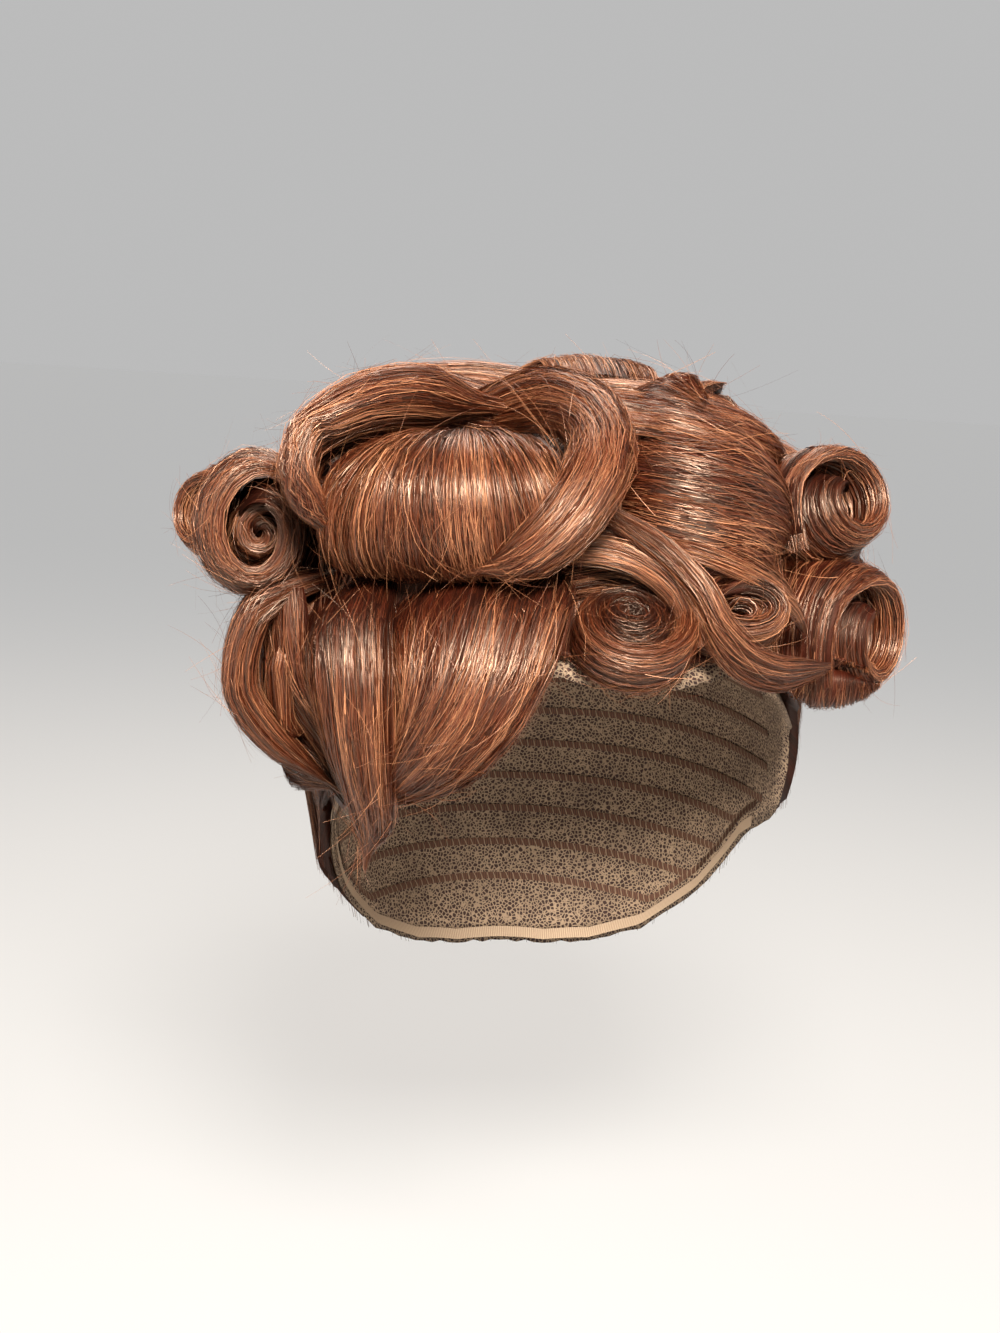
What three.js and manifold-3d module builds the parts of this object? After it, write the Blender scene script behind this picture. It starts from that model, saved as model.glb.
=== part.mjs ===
// A pinned-up wig of barrel curls on a lace cap, in millimetres, +Z up.
// The wearer faces -Y, with the left side at +X. The origin is where the crown of the head meets the cap.
import * as THREE from 'three';
import { mergeVertices } from 'three/addons/utils/BufferGeometryUtils.js';
import Module from 'manifold-3d';

const wasm = await Module();
wasm.setup();

// The head that the cap fits: its width, its length, and the drop from the crown to its widest level
const headWidth = 154;
const headLength = 192;
const headDrop = 95;
const headSquareness = 2.35;

// The cap and the combed hair on it
const capWall = 1.6;
const laceMargin = 5;
const gap = 0.3;
const hairlineDepth = 4;
const coreDepth = 36;

// The locks: how high the pile stands over the scalp, and the sizes that each table's shares follow
const pileHeight = 70;
const lockWidth = 40;
const lockDepth = 12;
const curlRadius = 22;
const curlLength = 60;

// How a lock's section and ends are shaped
const sectionSides = 8;
const sectionFullness = 0.8;
const tipShare = 0.6;
const curlNarrowing = 0.9;
const pathStep = 0.01;

const hairColour = 0x8a5233;
const laceColour = 0xb79c7c;

const { degToRad, lerp, clamp } = THREE.MathUtils;

// A direction: turn runs from the face round to the wearer's left, and rise up from level
function direction(turn, rise) {
  const [t, r] = [degToRad(turn), degToRad(rise)];
  return new THREE.Vector3(Math.cos(r) * Math.sin(t), -Math.cos(r) * Math.cos(t), Math.sin(r));
}

// A point over the head, at a height above the scalp
function overHead(turn, rise, height) {
  const d = direction(turn, rise);
  const sum = [d.x, d.y, d.z].reduce((total, x) => total + Math.abs(x) ** headSquareness, 0);
  const reach = sum ** (-1 / headSquareness);
  return new THREE.Vector3(
    (headWidth / 2 + height) * d.x * reach,
    (headLength / 2 + height) * d.y * reach,
    (headDrop + height) * d.z * reach - headDrop,
  );
}

// The way out of the head at a point over it
function outward(point) {
  const half = [headWidth / 2, headLength / 2, headDrop];
  const from = [point.x, point.y, point.z + headDrop];
  const slope = from.map((x, i) => Math.sign(x) * Math.abs(x / half[i]) ** (headSquareness - 1) / half[i]);
  return new THREE.Vector3(...slope).normalize();
}

// A smooth value between the rows of a table, for s from 0 to 1
function along(rows, s, column) {
  const place = clamp(s, 0, 1) * (rows.length - 1);
  const i = Math.min(Math.floor(place), rows.length - 2);
  const t = place - i;
  const at = (k) => column(rows[clamp(k, 0, rows.length - 1)]);
  const [a, b, c, d] = [at(i - 1), at(i), at(i + 1), at(i + 2)];
  return 0.5 * (2 * b + (c - a) * t + (2 * a - 5 * b + 4 * c - d) * t * t + (3 * b - a - 3 * c + d) * t ** 3);
}

// A closed solid from rings of points, each ring running the same way round. The first bands may be split
// along their other diagonal, so that a side that runs down matches one that runs up.
function loft(rings, otherDiagonal = 0) {
  const count = rings[0].length;
  const flat = rings.flat();
  const faces = [];
  for (let i = 0; i + 1 < rings.length; i++) {
    for (let j = 0; j < count; j++) {
      const k = (j + 1) % count;
      const [a, b, c, d] = [i * count + j, i * count + k, (i + 1) * count + k, (i + 1) * count + j];
      faces.push(...(i < otherDiagonal ? [a, b, d, b, c, d] : [a, b, c, a, c, d]));
    }
  }
  const last = (rings.length - 1) * count;
  for (let j = 1; j + 1 < count; j++) {
    faces.push(0, j + 1, j, last, last + j, last + j + 1);
  }
  const geometry = new THREE.BufferGeometry();
  geometry.setAttribute('position', new THREE.Float32BufferAttribute(flat.flatMap((p) => p.toArray()), 3));
  geometry.setIndex(faces);
  return geometry;
}

function toSolid(geometry) {
  const plain = new THREE.BufferGeometry();
  plain.setAttribute('position', geometry.getAttribute('position'));
  plain.setIndex(geometry.index);
  const merged = mergeVertices(plain, 1e-3);
  const solid = new wasm.Manifold(new wasm.Mesh({
    numProp: 3,
    vertProperties: merged.getAttribute('position').array,
    triVerts: new Uint32Array(merged.index.array),
  }));
  return solid;
}

function toGeometry(solid) {
  const mesh = solid.getMesh();
  const geometry = new THREE.BufferGeometry();
  geometry.setAttribute('position', new THREE.BufferAttribute(mesh.vertProperties, 3));
  geometry.setIndex(new THREE.BufferAttribute(mesh.triVerts, 1));
  geometry.computeVertexNormals();
  return geometry;
}

// The largest body of a solid, so that a cut leaves no crumbs
function largest(solid) {
  return solid.decompose().sort((a, b) => b.volume() - a.volume())[0];
}

// One station of a lock: across is the way its width runs and face the way its outer side looks
function station({ centre, heading, across, wide, deep, crown, tip }) {
  const side = across.clone().addScaledVector(heading, -across.dot(heading)).normalize();
  const face = new THREE.Vector3().crossVectors(side, heading).normalize();
  return { centre, heading, side, face, wide, deep, crown, tip };
}

// The closed form of a lock from its stations: a rounded section, bowed by the crown, with both ends drawn in
function lockForm(stations, grow) {
  const ends = stations.length - 1;
  return loft(stations.map((one, i) => {
    const tip = i === 0 || i === ends ? one.tip ?? tipShare : 1;
    const [wide, deep] = [one.wide * tip / 2, one.deep * tip / 2];
    const past = i === 0 ? -grow : i === ends ? grow : 0;
    return Array.from({ length: sectionSides }, (_, k) => {
      const angle = -2 * Math.PI * k / sectionSides;
      const [c, s] = [Math.cos(angle), Math.sin(angle)];
      const v = Math.sign(c) * Math.abs(c) ** sectionFullness * (wide + grow);
      const u = Math.sign(s) * Math.abs(s) ** sectionFullness * (deep + grow);
      return one.centre.clone()
        .addScaledVector(one.heading, past)
        .addScaledVector(one.side, v)
        .addScaledVector(one.face, u - one.crown * (v / wide) ** 2);
    });
  }));
}


// Rows of numbers as records with named columns
function table(columns, rows) {
  const names = columns.split(' ');
  return rows.map((row) => Object.fromEntries(names.map((name, i) => [name, row[i]])));
}

// A lock that is combed along a path. Lift is a share of the pile, wide and deep are shares of a lock's.
// With an axis, its width runs that way; with a facing, its outer side looks that way.
function combedStations({ path, axis, facing, crown = 0, steps, tips }) {
  const rows = table('turn rise lift wide deep', path);
  const spots = rows.map((row) => overHead(row.turn, row.rise, row.lift * pileHeight));
  const point = (s) => new THREE.Vector3(...['x', 'y', 'z'].map((name) => along(spots, s, (p) => p[name])));
  return Array.from({ length: steps + 1 }, (_, i) => {
    const s = i / steps;
    const heading = point(s + pathStep).sub(point(s - pathStep)).normalize();
    const centre = point(s);
    const face = facing ? direction(...facing) : outward(centre);
    const across = axis ? direction(...axis) : new THREE.Vector3().crossVectors(heading, face);
    const wide = along(rows, s, (row) => row.wide) * lockWidth;
    const deep = along(rows, s, (row) => row.deep) * lockDepth;
    return station({ centre, heading, across, wide, deep, crown: crown * lockDepth, tip: tips?.[i === 0 ? 0 : 1] });
  });
}

// A lock that is rolled round an axis. It starts at an angle from upright and winds inwards.
function rolledStations({ at, axis, radius, length, start, turns, inner, wall, crown = 0, squash = 1, lead = 0, steps }) {
  const middle = overHead(at[0], at[1], at[2] * pileHeight);
  const pole = direction(...axis);
  const up = new THREE.Vector3(0, 0, 1).addScaledVector(pole, -pole.z).normalize();
  const left = new THREE.Vector3().crossVectors(pole, up);
  const wound = (s) => {
    const angle = degToRad(start + 360 * turns * s);
    const reach = radius * curlRadius * lerp(1, inner, s);
    return middle.clone()
      .addScaledVector(up, Math.cos(angle) * reach)
      .addScaledVector(left, Math.sin(angle) * reach * squash);
  };
  const leadShare = lead / (lead + 2 * Math.PI * Math.abs(turns) * (1 + inner) / 2);
  const leadWay = wound(pathStep).sub(wound(0)).normalize();
  const point = (s) => (lead && s < leadShare
    ? wound(0).addScaledVector(leadWay, (s - leadShare) / leadShare * lead * radius * curlRadius)
    : wound((s - leadShare) / (1 - leadShare)));
  return Array.from({ length: steps + 1 }, (_, i) => {
    const s = i / steps;
    const heading = point(s + pathStep).sub(point(s - pathStep)).normalize();
    return station({
      centre: point(s),
      heading,
      across: pole,
      wide: length * curlLength * lerp(1, curlNarrowing, s),
      deep: wall * lockDepth,
      crown: -Math.sign(turns) * crown * lockDepth,
    });
  });
}

// The hairline: how far down the hair reaches, as a rise at each turn, from the nape round the right side,
// over the forehead and round the left side, where the temple is bare
const hairline = table('turn rise', [
  [-180, -34], [-165, -34], [-145, -31], [-126, -22], [-112, -6], [-100, 6], [-88, 10], [-76, 8], [-66, 12],
  [-57, 28], [-45, 40], [-30, 45], [-15, 44], [0, 42], [15, 44], [30, 45], [45, 40], [60, 33], [75, 29], [84, 14],
  [90, 9], [100, 6], [112, -6], [126, -22], [145, -31], [165, -34], [180, -34]]);

function between(rows, place, from, to) {
  const value = clamp(place, rows[0][from], rows[rows.length - 1][from]);
  const k = rows.findIndex((row, i) => i + 1 < rows.length && value <= rows[i + 1][from]);
  const [a, b] = [rows[k], rows[k + 1]];
  return lerp(a[to], b[to], (value - a[from]) / (b[from] - a[from]));
}

function edgeRise(turn) {
  return between(hairline, ((turn + 540) % 360) - 180, 'turn', 'rise');
}

// How deep the combed hair is, as a share of the core's depth: a row for each rise, and a column for each turn
const coreTurns = [-180, -135, -90, -45, 0, 45, 90, 135, 180];
const coreRows = [
  { rise: -40, shares: [0.15, 0.15, 0.12, 0.12, 0.1, 0.1, 0.1, 0.15, 0.15] },
  { rise: 5, shares: [0.2, 0.2, 0.15, 0.12, 0.1, 0.1, 0.12, 0.2, 0.2] },
  { rise: 20, shares: [0.4, 0.5, 0.7, 0.25, 0.1, 0.1, 0.15, 0.35, 0.4] },
  { rise: 35, shares: [0.9, 1.1, 1.15, 0.4, 0.15, 0.15, 0.45, 0.8, 0.9] },
  { rise: 50, shares: [1.2, 1.35, 1.4, 0.7, 0.2, 0.3, 1, 1.3, 1.2] },
  { rise: 60, shares: [1.35, 1.4, 1.4, 1, 0.45, 0.8, 1.25, 1.4, 1.35] },
  { rise: 72, shares: [1.45, 1.45, 1.4, 1.25, 1.2, 1.2, 1.35, 1.45, 1.45] },
  { rise: 90, shares: [1.5, 1.5, 1.5, 1.5, 1.5, 1.5, 1.5, 1.5, 1.5] }];

function coreHeight(turn, rise) {
  const round = ((turn + 540) % 360) - 180;
  const column = clamp(Math.floor((round + 180) / 45), 0, coreTurns.length - 2);
  const t = (round - coreTurns[column]) / 45;
  const rows = coreRows.map((row) => ({ rise: row.rise, share: lerp(row.shares[column], row.shares[column + 1], t) }));
  return between(rows, rise, 'rise', 'share') * coreDepth;
}

// The dome's grid is the same for the cap, for the hair on it and for its clearance, so that they nest
const domeColumns = 24;
const domeRows = 9;
const domeTop = 88;
const edgeBlend = 22;
const levels = Array.from({ length: domeRows }, (_, i) => i / (domeRows - 1));
const degreesPerLength = 180 / (Math.PI * headDrop);

function domeRing(riseAt, heightAt) {
  return Array.from({ length: domeColumns }, (_, i) => {
    const turn = 360 * i / domeColumns;
    const rise = riseAt(turn);
    return overHead(turn, rise, heightAt(turn, rise));
  });
}

function hairTop(turn, rise) {
  const share = THREE.MathUtils.smoothstep(rise - edgeRise(turn), 0, edgeBlend);
  return capWall + gap + lerp(hairlineDepth, coreHeight(turn, rise), share);
}

// A shell over the head, open below: its inner side from the top down to the edge, then its outer side back up
function domeShell(inner, outer, margin) {
  const low = (turn) => edgeRise(turn) - margin * degreesPerLength;
  const levelRise = (level) => (turn) => lerp(edgeRise(turn), domeTop, level);
  const side = (height) => [
    ...(margin ? [domeRing(low, height)] : []),
    ...levels.map((level) => domeRing(levelRise(level), height))];
  const down = side(inner).reverse();
  return loft([...down, ...side(outer)], down.length - 1);
}

// The head, the cap and the combed hair as one blank with the clearance on it, to cut the locks back from
const blankBottom = -60;
const blankRings = 5;
function domeBlank() {
  const bare = () => capWall + gap;
  const grown = (turn, rise) => hairTop(turn, Math.max(rise, edgeRise(turn))) + gap;
  const below = (turn) => edgeRise(turn) - laceMargin * degreesPerLength;
  const rings = [];
  for (let i = 0; i < blankRings; i++) {
    rings.push(domeRing((turn) => lerp(blankBottom, below(turn), i / (blankRings - 1)), bare));
  }
  rings.push(domeRing((turn) => edgeRise(turn) - gap * degreesPerLength, grown));
  for (const level of levels) {
    rings.push(domeRing((turn) => lerp(edgeRise(turn), domeTop, level), grown));
  }
  return loft(rings);
}

// The locks, outermost first: each is cut back to clear those above it in the list
const rollTurns = { turns: -1.3, inner: 0.4, wall: 0.6, crown: 0.3, steps: 14 };
const locks = [
  { name: 'roll_loop_left', facing: [-22, 18], crown: 0.2, steps: 12, path: [
    [-66, 71, 0.82, 0.5, 0.8], [-40, 73, 0.88, 0.52, 1], [-19, 68, 0.88, 0.5, 1], [-14, 60, 0.84, 0.46, 1.1],
    [-18, 53, 0.77, 0.44, 1.1], [-23, 49, 0.68, 0.42, 1], [-29, 46, 0.61, 0.34, 0.8], [-36, 46, 0.54, 0.2, 0.4]] },
  { name: 'front_roll', at: [-48, 53, 0.61], axis: [67, 6], radius: 1.05, length: 1.3, start: 0, turns: 1.3,
    inner: 0.42, wall: 0.6, crown: 0.3, steps: 16 },
  { name: 'roll_loop_right', axis: [-13, 10], steps: 14, path: [
    [-64, 69, 0.85, 0.5, 0.9], [-68, 62, 0.96, 0.9, 1.5], [-68, 54, 1.06, 1.1, 1.3], [-69, 48, 1.07, 1.1, 0.9],
    [-67, 44, 1.0, 1, 0.75], [-68, 44, 0.84, 0.8, 0.7], [-73, 46, 0.64, 0.5, 0.6]] },
  { name: 'crown_lock', crown: 0.4, steps: 9, path: [
    [-98, 55, 0.9, 0.7, 0.6], [-95, 59, 1.02, 1, 1], [-92, 65, 0.98, 1.1, 1], [-84, 72, 0.86, 1.1, 0.9],
    [-60, 80, 0.72, 0.9, 0.7]] },
  { name: 'left_swath', axis: [-176, 46], crown: -1.6, steps: 11, path: [
    [-20, 80, 0.6, 1.4, 0.8], [6, 72, 0.68, 1.8, 1], [24, 66, 0.69, 2.05, 1], [40, 63, 0.68, 2.05, 1],
    [54, 60, 0.62, 1.8, 0.9], [64, 58, 0.5, 1.3, 0.6]] },
  { name: 'pin_curl', at: [-4, 48, 0.17], axis: [-5, 51], radius: 0.95, length: 0.28, start: 25, turns: -1.5,
    inner: 0.3, wall: 0.6, lead: 1.7, steps: 20 },
  { name: 'front_loop', at: [28, 48.5, 0.24], axis: [0, 25], radius: 0.45, length: 0.5, start: 40, turns: 1.1,
    inner: 0.5, wall: 0.6, squash: 1.5, lead: 0.3, steps: 14 },
  { name: 'left_top_curl', at: [72, 54, 0.64], axis: [22, 20], radius: 0.92, length: 0.75, start: 60,
    ...rollTurns },
  { name: 'left_lower_curl', at: [69, 40, 0.33], axis: [37, 3], radius: 1.1, length: 0.75, start: 60,
    squash: 0.85, ...rollTurns },
  { name: 'left_under_curl', at: [62, 34, 0.24], axis: [72, 0], radius: 0.42, length: 0.6, start: 0, turns: -0.9,
    inner: 0.6, wall: 0.5, crown: 0.2, steps: 10 },
  { name: 'right_side_curl', at: [-85, 39.5, 0.88], axis: [-5, 3], radius: 1.1, length: 0.85, start: -50, turns: 1.3,
    inner: 0.45, wall: 0.65, crown: 0.3, squash: 0.82, steps: 16 },
  { name: 'right_back_curl', at: [-104, 38, 0.9], axis: [-51, 6], radius: 0.8, length: 0.7, start: -50, turns: 1.2,
    inner: 0.4, wall: 0.55, crown: 0.3, steps: 14 },
  { name: 'right_temple_loop', axis: [-5, 5], steps: 12, path: [
    [-80, 41, 0.52, 0.7, 0.7], [-81, 33, 0.7, 0.9, 0.8], [-82, 27, 0.7, 1, 0.8], [-82, 22, 0.65, 1, 0.8],
    [-81, 19, 0.55, 0.9, 0.8], [-80, 16, 0.39, 0.8, 0.7], [-77, 13, 0.18, 0.5, 0.5]] },
  { name: 'right_sideburn', crown: 0.4, steps: 10, path: [
    [-68, 41, 0.46, 0.8, 0.7], [-64, 34, 0.5, 0.95, 1], [-61, 27, 0.42, 1, 1], [-61, 19, 0.27, 0.9, 0.9],
    [-63, 11, 0.12, 0.6, 0.6], [-66, 3, 0.05, 0.15, 0.3]] },
  { name: 'right_swoop', crown: 0.6, steps: 10, path: [
    [-50, 52, 0.26, 1.8, 0.9], [-46, 42, 0.33, 1.9, 1.1], [-43, 33, 0.31, 1.6, 1.1], [-45, 26, 0.25, 1.1, 1],
    [-51, 20, 0.17, 0.6, 0.7], [-58, 14, 0.12, 0.25, 0.5]] },
  { name: 'top_wave', crown: 0.5, steps: 8, path: [
    [-100, 80, 0.72, 0.9, 0.7], [-140, 87, 0.82, 1.5, 1], [92, 78, 0.84, 1.9, 1.1], [100, 67, 0.83, 1.8, 1],
    [98, 56, 0.8, 1.2, 0.7]] },
  { name: 'crown_back_lock', crown: 0.5, steps: 9, path: [
    [-112, 52, 0.84, 0.9, 0.7], [-113, 60, 0.98, 1.5, 1], [-124, 70, 0.94, 1.5, 1], [-148, 79, 0.86, 1.2, 0.9],
    [164, 82, 0.72, 0.7, 0.6]] },
  { name: 'crown_curl', at: [164, 72, 0.8], axis: [90, 0], radius: 0.9, length: 0.9, start: 0, ...rollTurns },
  { name: 'left_back_curl', at: [124, 62, 0.92], axis: [-15, 12], radius: 0.5, length: 0.6, start: 0, turns: 1.1,
    inner: 0.4, wall: 0.45, steps: 12 },
  { name: 'left_back_lock', crown: 0.5, steps: 8, path: [
    [132, 66, 0.82, 0.9, 0.8], [117, 58, 0.83, 1.4, 1], [104, 52, 0.83, 1.4, 1], [94, 46, 0.78, 1.2, 1],
    [86, 42, 0.64, 0.7, 0.6]] },
  { name: 'upper_curl_right', at: [-140, 58, 0.8], axis: [130, 0], radius: 0.95, length: 1, start: 0,
    ...rollTurns },
  { name: 'upper_curl_left', at: [166, 57, 0.78], axis: [76, 0], radius: 1, length: 1, start: 0, ...rollTurns },
  { name: 'left_rear_curl', at: [104, 42, 0.46], axis: [14, 0], radius: 1, length: 0.95, start: 0, ...rollTurns },
  { name: 'back_curl_middle', at: [180, 42, 0.7], axis: [90, 0], radius: 1.15, length: 1.25, start: 0,
    ...rollTurns },
  { name: 'back_curl_left', at: [139, 41, 0.66], axis: [49, 0], radius: 1.1, length: 1.2, start: 0, ...rollTurns },
  { name: 'back_curl_right', at: [-139, 41, 0.7], axis: [131, 0], radius: 1.1, length: 1.2, start: 0,
    ...rollTurns },
];

// The sides and the nape are combed up in even panels, from the hairline to the curls above
const panels = [
  { name: 'right_side_panel_1', turn: -81, wide: 1, lifts: [0.07, 0.16, 0.48, 0.68] },
  { name: 'right_side_panel_2', turn: -106, wide: 1.2, lifts: [0.07, 0.14, 0.42, 0.68] },
  { name: 'nape_panel_1', turn: -130, wide: 1.3, lifts: [0.07, 0.13, 0.3, 0.55] },
  { name: 'nape_panel_2', turn: -155, wide: 1.3, lifts: [0.07, 0.13, 0.28, 0.5] },
  { name: 'nape_panel_3', turn: 180, wide: 1.3, lifts: [0.07, 0.13, 0.28, 0.5] },
  { name: 'nape_panel_4', turn: 155, wide: 1.3, lifts: [0.07, 0.13, 0.28, 0.5] },
  { name: 'nape_panel_5', turn: 130, wide: 1.3, lifts: [0.07, 0.13, 0.28, 0.5] },
  { name: 'left_side_panel', turn: 106, wide: 1.2, lifts: [0.07, 0.12, 0.2, 0.35] },
];
const panelTop = 36;
const panelLevels = [0, 0.3, 0.65, 1];
const panelDepths = [0.4, 0.6, 0.8, 0.8];
for (const { name, turn, wide, lifts } of panels) {
  const low = edgeRise(turn) + 1;
  locks.push({ name, crown: 0.3, steps: 7, tips: [0.8, 0.8], path: panelLevels.map((level, i) => (
    [turn, lerp(low, panelTop, level), lifts[i], wide, panelDepths[i]])) });
}

const hair = new THREE.MeshStandardMaterial({ color: hairColour, roughness: 0.45, metalness: 0 });
const lace = new THREE.MeshStandardMaterial({ color: laceColour, roughness: 0.8, metalness: 0 });

const wig = new THREE.Group();
function add(name, solid, material) {
  const mesh = new THREE.Mesh(toGeometry(solid), material);
  mesh.name = name;
  wig.add(mesh);
}

add('lace_cap', toSolid(domeShell(() => 0, () => capWall, laceMargin)), lace);
add('under_hair', toSolid(domeShell(() => capWall + gap, hairTop, 0)), hair);

const clearances = [toSolid(domeBlank())];
for (const lock of locks) {
  const stations = lock.path ? combedStations(lock) : rolledStations(lock);
  const solid = largest(toSolid(lockForm(stations, 0)).subtract(wasm.Manifold.union(clearances)));
  add(lock.name, solid, hair);
  clearances.push(toSolid(lockForm(stations, gap)));
}

export default wig;
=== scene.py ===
import bmesh
import bpy
import numpy as np
from mathutils import Matrix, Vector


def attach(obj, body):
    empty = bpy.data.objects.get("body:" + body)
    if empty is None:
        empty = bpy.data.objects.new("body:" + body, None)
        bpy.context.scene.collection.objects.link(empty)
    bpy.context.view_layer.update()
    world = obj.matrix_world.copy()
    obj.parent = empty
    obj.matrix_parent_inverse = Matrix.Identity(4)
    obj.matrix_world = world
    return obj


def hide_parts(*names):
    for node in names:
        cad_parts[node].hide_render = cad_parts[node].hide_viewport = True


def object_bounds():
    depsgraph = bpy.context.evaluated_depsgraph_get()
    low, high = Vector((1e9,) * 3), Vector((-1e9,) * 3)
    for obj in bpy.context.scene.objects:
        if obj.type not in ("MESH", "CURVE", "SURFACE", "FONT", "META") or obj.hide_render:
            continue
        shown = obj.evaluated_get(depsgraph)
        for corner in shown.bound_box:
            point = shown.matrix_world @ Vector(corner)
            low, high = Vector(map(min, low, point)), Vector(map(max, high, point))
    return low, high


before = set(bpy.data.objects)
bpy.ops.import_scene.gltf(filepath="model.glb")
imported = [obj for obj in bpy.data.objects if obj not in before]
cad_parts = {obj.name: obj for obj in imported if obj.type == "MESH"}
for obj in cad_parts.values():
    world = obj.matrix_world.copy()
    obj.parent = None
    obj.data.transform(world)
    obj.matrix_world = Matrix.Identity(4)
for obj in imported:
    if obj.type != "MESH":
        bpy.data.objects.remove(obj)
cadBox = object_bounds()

print("scene: the packed wig is loaded")

# Sizes in millimetres. The tables of locks below hold shares of these.
wig = {
    "capHalf": np.array([77.0, 96.0, 95.0]),  # half width, half length and height of the cap's inside
    "capDrop": 95.0,  # from the inside top of the cap down to the middle of its form
    "capMean": 88.0,
    "squareness": 2.35,
    "capWall": 1.6,
    "gap": 0.3,
    "hairlineDepth": 4.0,
    "laceMargin": 5.0,
    "coreDepth": 36.0,
    "pileHeight": 70.0,
    "lockWidth": 40.0,
    "lockDepth": 12.0,
    "curlRadius": 22.0,
    "curlLength": 60.0,
    "flyaway": 5.0,  # how far a loose hair may reach past the box of the CAD model
}
metre = 0.001
cadBox = np.array(cadBox) / metre

# How finely a lock is followed, and how it narrows to its ends
lockPath = {"step": 0.01, "samples": 241, "taper": 0.16, "pathSpread": 0.5, "rolledSpread": 0.12,
            "narrowing": 0.1, "drop": 2.4}
lockSurface = {
    "fullness": 0.8,  # 1 gives a lock an oval section, and less a fuller one
    "leadIn": 0.16,  # a rolled lock starts this share of its length before its first turn
    "capClearance": 2.2,
    "sink": 0.45,  # the body lies this far under the strands
    "ridgeWidth": 10,  # a lock narrower than this on each side has lower ridges
    "hemDegree": 1.45,  # one degree of turn at the cap
    "hemMost": 0.6,
}


def direction(turn, rise):  # turn runs from the front round to the wig's left, and rise goes up from level
    t, r = np.radians(turn), np.radians(rise)
    return np.stack([np.cos(r) * np.sin(t), -np.cos(r) * np.cos(t), np.sin(r) + 0 * t], -1)


def overCap(turn, rise, height):
    d = direction(np.asarray(turn, float), np.asarray(rise, float))
    reach = (np.abs(d) ** wig["squareness"]).sum(-1) ** (-1 / wig["squareness"])
    half = wig["capHalf"] + np.asarray(height, float)[..., None]
    point = half * d * reach[..., None]
    point[..., 2] -= wig["capDrop"]
    return point


def outward(point):
    rel = (point + [0, 0, wig["capDrop"]]) / wig["capHalf"]
    slope = np.sign(rel) * np.abs(rel) ** (wig["squareness"] - 1) / wig["capHalf"]
    return unit(slope)


def unit(v):
    return v / np.maximum(np.linalg.norm(v, axis=-1, keepdims=True), 1e-12)


def clearOfCap(point, height):  # pushes out what would reach into the cap
    rel = point + [0, 0, wig["capDrop"]]
    share = (np.abs(rel / wig["capHalf"]) ** wig["squareness"]).sum(-1) ** (1 / wig["squareness"])
    least = 1 + height / wig["capMean"]
    return rel * np.maximum(1, least / share)[..., None] - [0, 0, wig["capDrop"]]


def smooth(x):
    x = np.clip(x, 0, 1)
    return x * x * (3 - 2 * x)


def alongRows(rows, s):  # a smooth curve through the rows of a table
    rows = np.asarray(rows, float)
    place = np.clip(s, 0, 1) * (len(rows) - 1)
    i = np.minimum(place.astype(int), len(rows) - 2)
    t = (place - i)[..., None]
    a, b, c, d = (rows[np.clip(i + k, 0, len(rows) - 1)] for k in (-1, 0, 1, 2))
    return 0.5 * (2 * b + (c - a) * t + (2 * a - 5 * b + 4 * c - d) * t * t
                  + (3 * b - a - 3 * c + d) * t ** 3)


def combedShape(lock, s):
    rows = np.array(lock["path"], float)
    spots = overCap(rows[:, 0], rows[:, 1], rows[:, 2] * wig["pileHeight"])
    centre = alongRows(spots, s)
    heading = unit(alongRows(spots, s + lockPath["step"]) - alongRows(spots, s - lockPath["step"]))
    face = np.broadcast_to(direction(*lock["facing"]), centre.shape) if "facing" in lock else outward(centre)
    if "axis" in lock:
        across = np.broadcast_to(direction(*lock["axis"]), centre.shape)
    else:
        across = np.cross(heading, face)
    sizes = alongRows(rows[:, 3:5] * [wig["lockWidth"], wig["lockDepth"]], s)
    return centre, heading, across, sizes[:, 0], sizes[:, 1], lock.get("crown", 0) * wig["lockDepth"]


def rolledShape(lock, s):
    middle = overCap(lock["at"][0], lock["at"][1], lock["at"][2] * wig["pileHeight"])
    pole = direction(*lock["axis"])
    up = unit(np.array([0, 0, 1]) - pole * pole[2])
    left = np.cross(pole, up)
    radius = lock["radius"] * wig["curlRadius"]

    def wound(s):
        angle = np.radians(lock["start"] + 360 * lock["turns"] * s)
        reach = (radius * (1 + (lock["inner"] - 1) * s))[:, None]
        aside = left * np.sin(angle)[:, None] * reach * lock.get("squash", 1)
        return middle + up * np.cos(angle)[:, None] * reach + aside

    lead = lock.get("lead", 0)
    leadShare = lead / (lead + 2 * np.pi * abs(lock["turns"]) * (1 + lock["inner"]) / 2)
    first = wound(np.array([0.0, lockPath["step"]]))
    leadWay = unit(first[1] - first[0])

    def point(s):
        path = wound((s - leadShare) / (1 - leadShare))
        if lead:
            straight = first[0] + leadWay * ((s - leadShare) / leadShare * lead * radius)[:, None]
            path = np.where((s < leadShare)[:, None], straight, path)
        return path

    heading = unit(point(s + lockPath["step"]) - point(s - lockPath["step"]))
    wide = lock["length"] * wig["curlLength"] * (1 - lockPath["narrowing"] * s)
    deep = lock["wall"] * wig["lockDepth"] + 0 * s
    crown = -np.sign(lock["turns"]) * lock.get("crown", 0) * wig["lockDepth"]
    return point(s), heading, np.broadcast_to(pole, heading.shape), wide, deep, crown


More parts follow.
